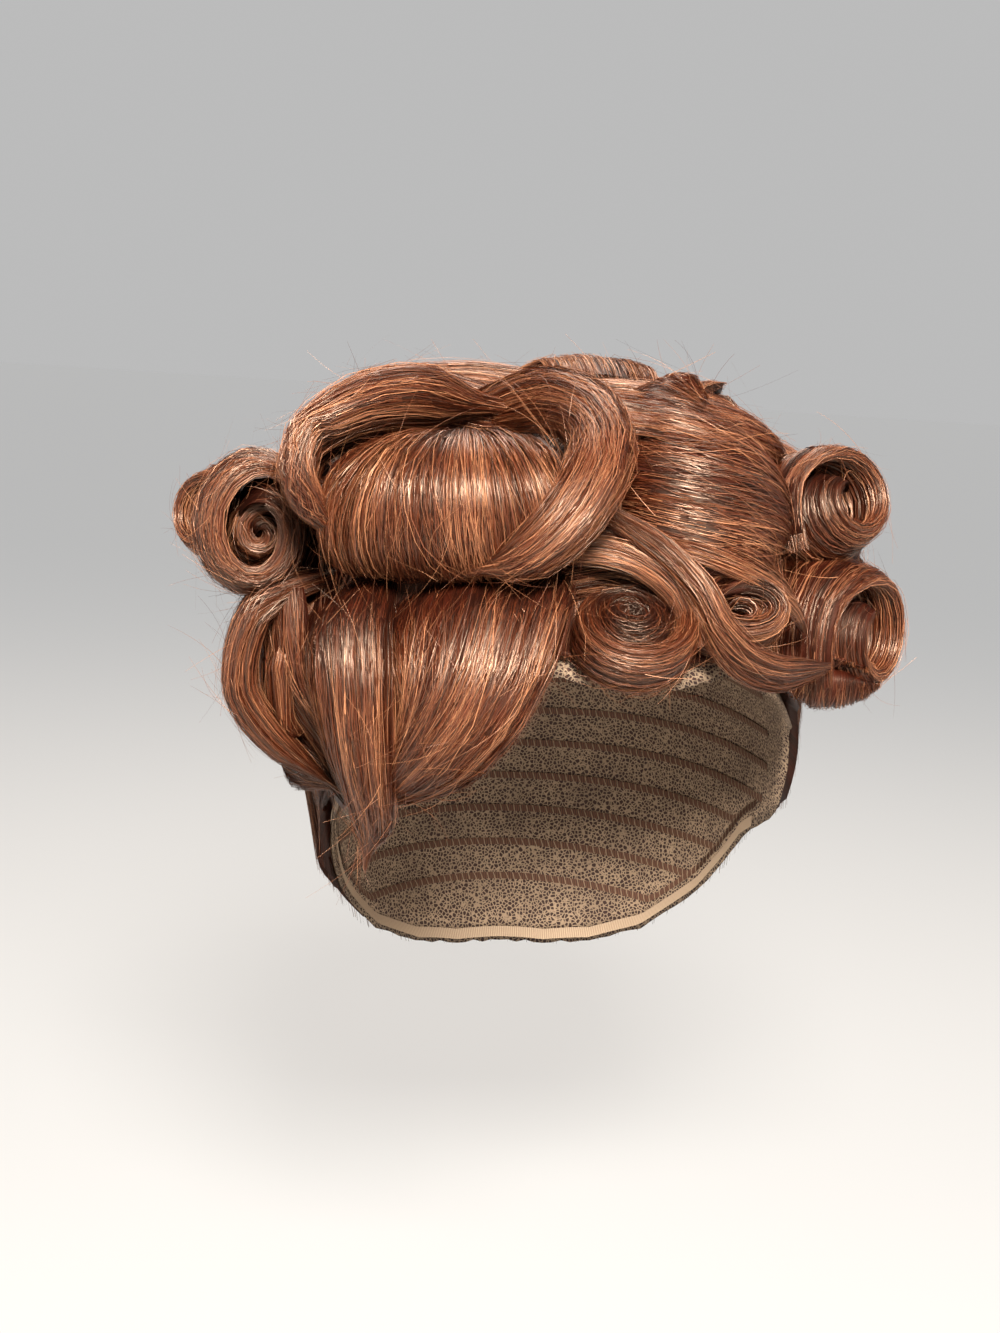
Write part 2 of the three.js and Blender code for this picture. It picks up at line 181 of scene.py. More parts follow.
def lockForm(name, lock):
    s = np.linspace(0, 1, lockPath["samples"])
    centre, heading, across, wide, deep, crown = (combedShape if "path" in lock else rolledShape)(lock, s)
    side = unit(across - heading * (across * heading).sum(-1, keepdims=True))
    face = unit(np.cross(side, heading))
    if "path" in lock:
        outer = 1 if (face * outward(centre)).sum() > 0 else -1
    else:
        outer = -1 if lock["turns"] > 0 else 1
    first, last = lock.get("ends", (0.06, 0.06))
    near, far = smooth(s / lockPath["taper"]), smooth((1 - s) / lockPath["taper"])
    taper = (first + (1 - first) * near) * (last + (1 - last) * far)
    if "path" in lock or "lead" in lock:
        drop = 0
    else:  # before its first turn a rolled lock bends down towards the one below
        drop = 1 / (lockPath["drop"] * lock["radius"] * wig["curlRadius"])
    # a rolled lock keeps its width to its ends
    spread = taper ** lockPath["pathSpread" if "path" in lock else "rolledSpread"]
    return {"s": s, "frame": np.concatenate([centre, side, face], 1), "wide": wide * spread / 2,
            "deep": deep * taper / 2, "crown": crown * spread ** 2, "outer": outer,
            "rolled": "path" not in lock,
            "drop": drop,
            "length": np.linalg.norm(np.diff(centre, axis=0), axis=1).sum(),
            "ridge": lock.get("ridge", 0.4), "hem": lock.get("hem"), "seed": sum(map(ord, name))}


# How many ridges go round a lock, and how high each kind is; wander is how far they stray along it
combedRidges = ((2, 0.7), (5, 0.6), (8, 0.5), (13, 0.45), (19, 0.3))
ridgeWander = 1.6


def ridgeHeight(form, s, phi):
    rng = np.random.default_rng(form["seed"])
    total = 0 * phi
    for count, share in combedRidges:
        phase, drift, beat = rng.uniform(0, 2 * np.pi), rng.uniform(0, 2 * np.pi), rng.uniform(0.4, 1.2)
        wander = ridgeWander * np.sin(2 * np.pi * beat * s + drift)
        total = total + share * np.sin(count * phi + phase + wander)
    return form["ridge"] * total


def onLock(form, s, phi, lift):  # a point of a lock's surface: s along it, phi round its section
    if form["hem"]:  # the low end of a panel follows the hairline
        turn, climb = form["hem"]
        aside = np.cos(phi) * form["wide"].max() / lockSurface["hemDegree"]
        higher = (edgeRise(turn + aside) - edgeRise(turn)) / climb
        s = s + (1 - s) * np.clip(higher, 0, lockSurface["hemMost"])
    inside = np.clip(s, 0, 1)
    at = [np.interp(inside, form["s"], column) for column in form["frame"].T]
    centre, side, face = (np.stack(at[k:k + 3], -1) for k in (0, 3, 6))
    past = ((s - inside) * form["length"])[..., None]
    centre = centre + np.cross(face, side) * past - face * form["outer"] * form["drop"] * past ** 2
    wide, deep, crown = (np.interp(inside, form["s"], form[key]) for key in ("wide", "deep", "crown"))
    c, q, fullness = np.cos(phi), np.sin(phi), lockSurface["fullness"]
    lift = lift + ridgeHeight(form, s, phi) * np.minimum(1, wide / lockSurface["ridgeWidth"])
    v = np.sign(c) * np.abs(c) ** fullness * (wide + lift)
    u = np.sign(q) * np.abs(q) ** fullness * (deep + lift) - crown * (v / wide) ** 2
    return clearOfCap(centre + side * v[..., None] + face * u[..., None], lockSurface["capClearance"])


# The hairline of the cap, and how thick the hair close to the cap is: a row for each rise, every 45 degrees
hairline = np.array([
    (-180, -34), (-165, -34), (-145, -31), (-126, -22), (-112, -6), (-100, 6), (-88, 10), (-76, 8),
    (-66, 12), (-57, 28), (-45, 40), (-30, 45), (-15, 44), (0, 42), (15, 44), (30, 45), (45, 40), (60, 33),
    (75, 29), (84, 14), (90, 9), (100, 6), (112, -6), (126, -22), (145, -31), (165, -34), (180, -34)], float)
coreEase = 22  # degrees over the hairline in which this hair comes to its full height
coreRises = np.array([-40, 5, 20, 35, 50, 60, 72, 90.0])
coreShares = np.array([
    (0.15, 0.15, 0.12, 0.12, 0.1, 0.1, 0.1, 0.15, 0.15),
    (0.2, 0.2, 0.15, 0.12, 0.1, 0.1, 0.12, 0.2, 0.2),
    (0.4, 0.5, 0.7, 0.25, 0.1, 0.1, 0.15, 0.35, 0.4),
    (0.9, 1.1, 1.15, 0.4, 0.15, 0.15, 0.45, 0.8, 0.9),
    (1.2, 1.35, 1.4, 0.7, 0.2, 0.3, 1, 1.3, 1.2),
    (1.35, 1.4, 1.4, 1, 0.45, 0.8, 1.25, 1.4, 1.35),
    (1.45, 1.45, 1.4, 1.25, 1.2, 1.2, 1.35, 1.45, 1.45),
    (1.5, 1.5, 1.5, 1.5, 1.5, 1.5, 1.5, 1.5, 1.5)])


def edgeRise(turn):
    turn = (np.asarray(turn, float) + 540) % 360 - 180
    # the CAD cap has a column every 15 degrees, and the edge follows it
    knots = np.arange(-180, 181, 15.0)
    return np.interp(turn, knots, np.interp(knots, hairline[:, 0], hairline[:, 1]))


def coreHeight(turn, rise):
    turn = (np.asarray(turn, float) + 540) % 360 - 180
    x = np.clip((turn + 180) / 45, 0, 7.999)
    i = x.astype(int)
    t = x - i
    y = np.interp(rise, coreRises, np.arange(8.0))
    j = np.minimum(y.astype(int), 6)
    w = y - j
    low = coreShares[j, i] * (1 - t) + coreShares[j, i + 1] * t
    high = coreShares[j + 1, i] * (1 - t) + coreShares[j + 1, i + 1] * t
    share = smooth((rise - edgeRise(turn)) / coreEase)
    full = (low * (1 - w) + high * w) * wig["coreDepth"]
    height = wig["hairlineDepth"] + (full - wig["hairlineDepth"]) * share
    return wig["capWall"] + wig["gap"] + height


def hexColour(code):  # an sRGB hex value as linear colour
    parts = [int(code[k:k + 2], 16) / 255 for k in (1, 3, 5)]
    return [p / 12.92 if p <= 0.04045 else ((p + 0.055) / 1.055) ** 2.4 for p in parts] + [1]


def addNode(tree, kind, settings=None, links=None):  # both by the names of attributes or inputs
    node = tree.nodes.new(kind)
    for key, value in (settings or {}).items():
        if isinstance(key, str) and hasattr(node, key):
            setattr(node, key, value)
        else:
            node.inputs[key].default_value = value
    for key, source in (links or {}).items():
        tree.links.new(source, node.inputs[key])
    return node


def newMaterial(name):
    material = bpy.data.materials.new(name)
    material.use_nodes = True
    tree = material.node_tree
    tree.nodes.clear()
    return material, tree


# Streaks and wisps of combed hair: how many to a millimetre across the lock, and along it. The streaks are a
# few hairs wide, because a single hair is too fine to show.
hairPattern = {"streak": (2.2, 0.02, 1), "wisp": (0.35, 0.012, 1), "streakShare": 0.55, "wispShare": 0.5,
               "darkAt": 0.38, "midAt": 0.68, "brightAt": 1.0, "sheen": "#ffdabc"}


def hairMaterial(name, dark, mid, bright, roughness, gloss, bumpDistance):
    # Dyed auburn fibre, combed: fine streaks along the lock, and a ramp from maroon to copper; the high hairs
    # are painted copper and the hair in the depth maroon, as painted light and shade
    material, tree = newMaterial(name)
    uv = addNode(tree, "ShaderNodeUVMap", {"uv_map": "strand"})
    shade = addNode(tree, "ShaderNodeAttribute", {"attribute_name": "shade"})
    streakAt = addNode(tree, "ShaderNodeMapping", {"Scale": hairPattern["streak"]}, {"Vector": uv.outputs[0]})
    streak = addNode(tree, "ShaderNodeTexNoise", {"Scale": 1.0, "Detail": 3.0, "Roughness": 0.6},
                     {"Vector": streakAt.outputs[0]})
    wispAt = addNode(tree, "ShaderNodeMapping", {"Scale": hairPattern["wisp"]}, {"Vector": uv.outputs[0]})
    wisp = addNode(tree, "ShaderNodeTexNoise", {"Scale": 1.0, "Detail": 2.0}, {"Vector": wispAt.outputs[0]})
    streaked = addNode(tree, "ShaderNodeMath", {"operation": "MULTIPLY_ADD", 1: hairPattern["streakShare"]},
                       {0: streak.outputs["Fac"], 2: shade.outputs["Fac"]})
    wispy = addNode(tree, "ShaderNodeMath", {"operation": "MULTIPLY_ADD", 1: hairPattern["wispShare"]},
                    {0: wisp.outputs["Fac"], 2: streaked.outputs[0]})
    ramp = addNode(tree, "ShaderNodeValToRGB", links={"Fac": wispy.outputs[0]})
    stops = ramp.color_ramp.elements
    stops[0].position, stops[0].color = hairPattern["darkAt"], hexColour(dark)
    stops[1].position, stops[1].color = hairPattern["brightAt"], hexColour(bright)
    middle = stops.new(hairPattern["midAt"])
    middle.color = hexColour(mid)
    bump = addNode(tree, "ShaderNodeBump", {"Strength": 1.0, "Distance": bumpDistance * metre},
                   {"Height": streak.outputs["Fac"]})
    gleam = {"Roughness": roughness, "IOR": 1.5, "Specular IOR Level": gloss,
             "Specular Tint": hexColour(hairPattern["sheen"])}
    shader = addNode(tree, "ShaderNodeBsdfPrincipled", gleam,
                     {"Base Color": ramp.outputs[0], "Normal": bump.outputs[0]})
    addNode(tree, "ShaderNodeOutputMaterial", links={"Surface": shader.outputs[0]})
    return material


# The net has cells of 1.35 mm, coarser than a real tulle's, so that they show
netPattern = {"cell": 1.35, "thread": 0.12, "patch": 14, "patchShare": 0.7, "patchLeast": 0.4}


def netMaterial(name, hole, thread, bumpDistance):
    # Knotted net: pale thread with the dark hair behind it in the holes, and patches where it is fainter
    material, tree = newMaterial(name)
    place = addNode(tree, "ShaderNodeTexCoord")
    cells = {"feature": "DISTANCE_TO_EDGE", "Scale": 1 / (netPattern["cell"] * metre)}
    net = addNode(tree, "ShaderNodeTexVoronoi", cells, {"Vector": place.outputs["Object"]})
    edge = {"From Min": netPattern["thread"] * 0.6, "From Max": netPattern["thread"] * 1.4,
            "To Min": 1.0, "To Max": 0.0}
    line = addNode(tree, "ShaderNodeMapRange", edge, {"Value": net.outputs["Distance"]})
    patches = {"Scale": 1 / (netPattern["patch"] * metre), "Detail": 3.0}
    patch = addNode(tree, "ShaderNodeTexNoise", patches, {"Vector": place.outputs["Object"]})
    faint = {"operation": "MULTIPLY_ADD", 1: netPattern["patchShare"], 2: netPattern["patchLeast"]}
    dim = addNode(tree, "ShaderNodeMath", faint, {0: patch.outputs["Fac"]})
    mask = addNode(tree, "ShaderNodeMath", {"operation": "MULTIPLY"}, {0: line.outputs[0], 1: dim.outputs[0]})
    colour = addNode(tree, "ShaderNodeMix", {"data_type": "RGBA"}, {"Factor": mask.outputs[0]})
    colour.inputs["A"].default_value = hexColour(hole)
    colour.inputs["B"].default_value = hexColour(thread)
    bump = addNode(tree, "ShaderNodeBump", {"Strength": 0.6, "Distance": bumpDistance * metre},
                   {"Height": line.outputs[0]})
    shader = addNode(tree, "ShaderNodeBsdfPrincipled", {"Roughness": 0.85},
                     {"Base Color": colour.outputs["Result"], "Normal": bump.outputs[0]})
    addNode(tree, "ShaderNodeOutputMaterial", links={"Surface": shader.outputs[0]})
    return material


tapePattern = {"ribs": 0.42, "bump": 0.15}


def tapeMaterial(name, low, high):
    # Woven binding tape: matt, with fine ribs across it
    material, tree = newMaterial(name)
    uv = addNode(tree, "ShaderNodeUVMap", {"uv_map": "strand"})
    ribs = {"bands_direction": "Y", "Scale": tapePattern["ribs"], "Distortion": 1.0, "Detail": 1.0}
    rib = addNode(tree, "ShaderNodeTexWave", ribs, {"Vector": uv.outputs[0]})
    colour = addNode(tree, "ShaderNodeMix", {"data_type": "RGBA"}, {"Factor": rib.outputs["Fac"]})
    colour.inputs["A"].default_value = hexColour(low)
    colour.inputs["B"].default_value = hexColour(high)
    bump = addNode(tree, "ShaderNodeBump", {"Strength": 0.7, "Distance": tapePattern["bump"] * metre},
                   {"Height": rib.outputs["Fac"]})
    shader = addNode(tree, "ShaderNodeBsdfPrincipled", {"Roughness": 0.8},
                     {"Base Color": colour.outputs["Result"], "Normal": bump.outputs[0]})
    addNode(tree, "ShaderNodeOutputMaterial", links={"Surface": shader.outputs[0]})
    return material


# the body and the hair on the cap, the same hair as the strands, get darker colours: painted shade of the
# hair in the depth
hairBody = hairMaterial("combedHairBodyShaded", "#1a0401", "#42160a", "#6b331a", 0.5, 0.3, 0.25)
hairStrand = hairMaterial("looseHairStrand", "#1c0401", "#5c2711", "#b87c54", 0.36, 1.0, 0.1)
tulle = netMaterial("knottedTulle", "#321b12", "#a88d70", 0.2)
weftTape = tapeMaterial("wovenWeftTape", "#3b2215", "#6a432b")
edgeTape = tapeMaterial("wovenEdgeTape", "#8d735a", "#b39a7e")
print("scene: materials are ready")


def finishPiece(name, mesh, materials, nodes):
    piece = bpy.data.objects.new(name, mesh)
    bpy.context.scene.collection.objects.link(piece)
    for material in materials:
        mesh.materials.append(material)
    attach(piece, "root")
    if nodes:
        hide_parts(*nodes)
    return piece


def mapGrid(name, around, rows, place, uvAt, shadeAt):
    # a grid wrapped into a closed form: x runs round it and y along it, and the seam and ends are closed
    bm = bmesh.new()
    bm.loops.layers.uv.new("strand")
    bmesh.ops.create_grid(bm, x_segments=around, y_segments=rows, size=1, calc_uvs=True)
    uv = bm.loops.layers.uv["strand"]
    where = np.array([v.co[:] for v in bm.verts])
    x, y = (where[:, 0] + 1) / 2, (where[:, 1] + 1) / 2
    points = place(x, y) * metre
    for face in bm.faces:
        for loop in face.loops:
            loop[uv].uv = uvAt(*loop[uv].uv)
    shade = bm.verts.layers.float.new("shade")
    for vert, point, tone in zip(bm.verts, points, shadeAt(x, y)):
        vert.co = point
        vert[shade] = tone
    bmesh.ops.remove_doubles(bm, verts=bm.verts, dist=1e-6)
    bmesh.ops.holes_fill(bm, edges=[e for e in bm.edges if e.is_boundary])
    bmesh.ops.recalc_face_normals(bm, faces=bm.faces)
    for face in bm.faces:
        face.smooth = True
    mesh = bpy.data.meshes.new(name)
    bm.to_mesh(mesh)
    bm.free()
    return mesh


ribbonLane = {"apart": 3.7, "wide": 0.45}  # where each ribbon lies on the pattern


def strandMesh(name, bundles):
    # many thin ribbons as one mesh from arrays; each bundle is (points, across, width, shade, runs)
    corners, faces, uvs, shades, start = [], [], [], [], 0
    for points, across, width, shade, runs in bundles:
        count, steps = points.shape[:2]
        half = across * (width / 2)[..., None]
        corners.append(np.stack([points - half, points + half], 2).reshape(-1, 3))
        first = start + 2 * (np.arange(count)[:, None] * steps + np.arange(steps - 1)[None, :]).ravel()
        faces.append(np.stack([first, first + 1, first + 3, first + 2], 1))
        lane = np.arange(count)[:, None, None] * ribbonLane["apart"]
        lane = lane + np.array([0, ribbonLane["wide"]])[None, None, :] + 0 * runs[..., None]
        uvs.append(np.stack([lane, runs[..., None] + 0 * lane], -1).reshape(-1, 2))
        shades.append(np.repeat(shade.reshape(-1), 2))
        start += 2 * count * steps
    corners, faces = np.concatenate(corners) * metre, np.concatenate(faces)
    uvs, shades = np.concatenate(uvs), np.concatenate(shades)
    mesh = bpy.data.meshes.new(name)
    mesh.vertices.add(len(corners))
    mesh.vertices.foreach_set("co", corners.ravel())
    mesh.loops.add(faces.size)
    mesh.loops.foreach_set("vertex_index", faces.ravel().astype(np.int32))
    mesh.polygons.add(len(faces))
    mesh.polygons.foreach_set("loop_start", np.arange(0, faces.size, 4, dtype=np.int32))
    mesh.update(calc_edges=True)
    mesh.uv_layers.new(name="strand").data.foreach_set("uv", uvs[faces.ravel()].ravel())
    mesh.attributes.new("shade", "FLOAT", "POINT").data.foreach_set("value", shades)
    mesh.shade_smooth()
    return mesh


# How a strand lies: its wave, how far an unruly one stands off, its tilt, its slim ends, and its tones;
# strands that stand higher are painted lighter
strandForm = {"wave": 0.2, "unrulyStray": 5, "unrulyLift": 1.4, "unrulyWidth": 0.5, "tilt": 0.6,
              "slimFrom": 0.03, "slimOver": 0.94, "slimLeast": 0.02,
              "toneSpread": 0.14, "clumpTone": 0.06, "liftPaintedLight": 0.06, "unrulyPaintedLight": 0.12}


def growStrands(place, recipe, phi, seed):
    # place(s, phi, lift) gives points, and the recipe says how many ribbons, how wide and how unruly
    rng = np.random.default_rng(seed)
    count, steps = recipe["count"], recipe["steps"]

    def each(low=0.0, high=1.0):  # one random number for each strand
        return rng.uniform(low, high, count)[:, None]

    start = recipe["from"] + each() ** 2 * recipe["uneven"]
    end = recipe["to"] - each() ** 2 * recipe["uneven"]
    t = np.linspace(0, 1, steps)[None, :]
    s = start + (end - start) * t
    unruly = each() < recipe["unruly"]
    drift = recipe["stray"] * rng.normal(0, 1, count)[:, None]
    drift = drift * np.sin(2 * np.pi * (each(0.3, 1.1) * s + each()))
    crossing = rng.normal(0, strandForm["unrulyStray"], count)[:, None]
    drift = drift + unruly * recipe["stray"] * crossing * (t - 0.5)
    phi = phi(rng, count)[:, None] + drift
    if "gather" in recipe:  # strands of a roll that come together at a spot of its top
        spot, share, low, high = recipe["gather"]
        v = np.sign(np.cos(phi)) * np.abs(np.cos(phi)) ** lockSurface["fullness"]
        v = spot + (v - spot) * (1 - share * (1 - smooth((s - low) / (high - low))))
        c = np.sign(v) * np.abs(v) ** (1 / lockSurface["fullness"])
        phi = np.sign(np.sin(phi)) * np.arccos(np.clip(c, -1, 1))
    lift = each(*recipe["lift"]) + strandForm["wave"] * np.sin(2 * np.pi * (each(0.5, 2.5) * s + each()))
    lift = lift + unruly * each(0.0, strandForm["unrulyLift"]) ** 2 * np.sin(np.pi * t) ** 2
    points = place(s, phi, lift)
    normal = unit(place(s, phi, lift + 1.0) - points)
    heading = unit(np.gradient(points, axis=1))
    tilt = rng.normal(0, strandForm["tilt"], count)[:, None, None]
    flat = unit(np.cross(heading, normal))
    across = flat * np.cos(tilt) + np.cross(heading, flat) * np.sin(tilt)
    ends = np.sin(np.pi * (strandForm["slimFrom"] + strandForm["slimOver"] * t))
    slim = np.sqrt(np.clip(ends, strandForm["slimLeast"], 1))
    slim = slim * np.where(unruly, strandForm["unrulyWidth"], 1)
    width = each(*recipe["width"]) * slim
    clump = np.sin(recipe["clumps"] * phi + 2 * np.sin(3 * s)) * strandForm["clumpTone"]
    # painted light and shade: strands that lie higher, and unruly ones, are lighter, and deeper ones darker
    shade = rng.normal(0, strandForm["toneSpread"], count)[:, None] + clump + strandForm["liftPaintedLight"] * lift
    shade = shade + unruly * strandForm["unrulyPaintedLight"] + recipe["tone"](s)
    runs = np.cumsum(np.linalg.norm(np.diff(points, axis=1, prepend=points[:, :1]), axis=2), axis=1)
    return points, across, width, shade, runs


strandDefaults = {"count": 490, "steps": 11, "from": -0.02, "to": 1.03, "uneven": 0.14, "stray": 0.09,
                  "unruly": 0.25, "lift": (-0.3, 0.5), "width": (0.13, 0.33), "inner": 0.15, "clumps": 9,
                  "eyeShade": 0.25, "tone": lambda s: 0 * s}


def lockStrands(name, form, extra, seed):
    recipe = dict(strandDefaults)
    if form["rolled"]:
        recipe["to"] = 0.85
    if form["drop"]:
        recipe["from"] = -0.2
    recipe.update(extra)
    low, high, dim = extra.get("shadow", (0, 1, 0))

    def tone(s):  # painted shade: darker towards the eye of a curl, and where a lock comes out from under another one; a negative shadow paints light instead
        eyeShade = -recipe["eyeShade"] * smooth(s * 2 - 1) * form["rolled"]
        return eyeShade - dim * (1 - smooth((s - low) / (high - low)))

    def phi(rng, count):
        at = rng.uniform(0, np.pi, count)
        return np.where(rng.random(count) < recipe["inner"], -at, at) * form["outer"]

    recipe["tone"] = tone
    bundle = growStrands(lambda s, phi, lift: onLock(form, s, phi, lift), recipe, phi, seed)
    finishPiece(name, strandMesh(name, [bundle]), [hairStrand], [])


def buildLock(name, lock):
    form = lockForm(name, lock)
    forms[name] = form
    low = -lockSurface["leadIn"] if form["drop"] else 0
    mesh = mapGrid(
        name + "_body", *lock.get("mesh", (60, 30)),
        lambda x, y: onLock(form, y * (1 - low) + low, 2 * np.pi * x, 0 * x - lockSurface["sink"]),
        lambda x, y: (x * 100, y * form["length"]),
        # painted shade: the body is darker in the grooves between its ridges, lighter on their crests, and a
        # little darker all over
        lambda x, y: 0.08 * ridgeHeight(form, y, 2 * np.pi * x) / form["ridge"] - 0.05)
    finishPiece(name + "_body", mesh, [hairBody], [name])
    lockStrands(name + "_strands", form, lock.get("strands", {}), form["seed"] + 7)


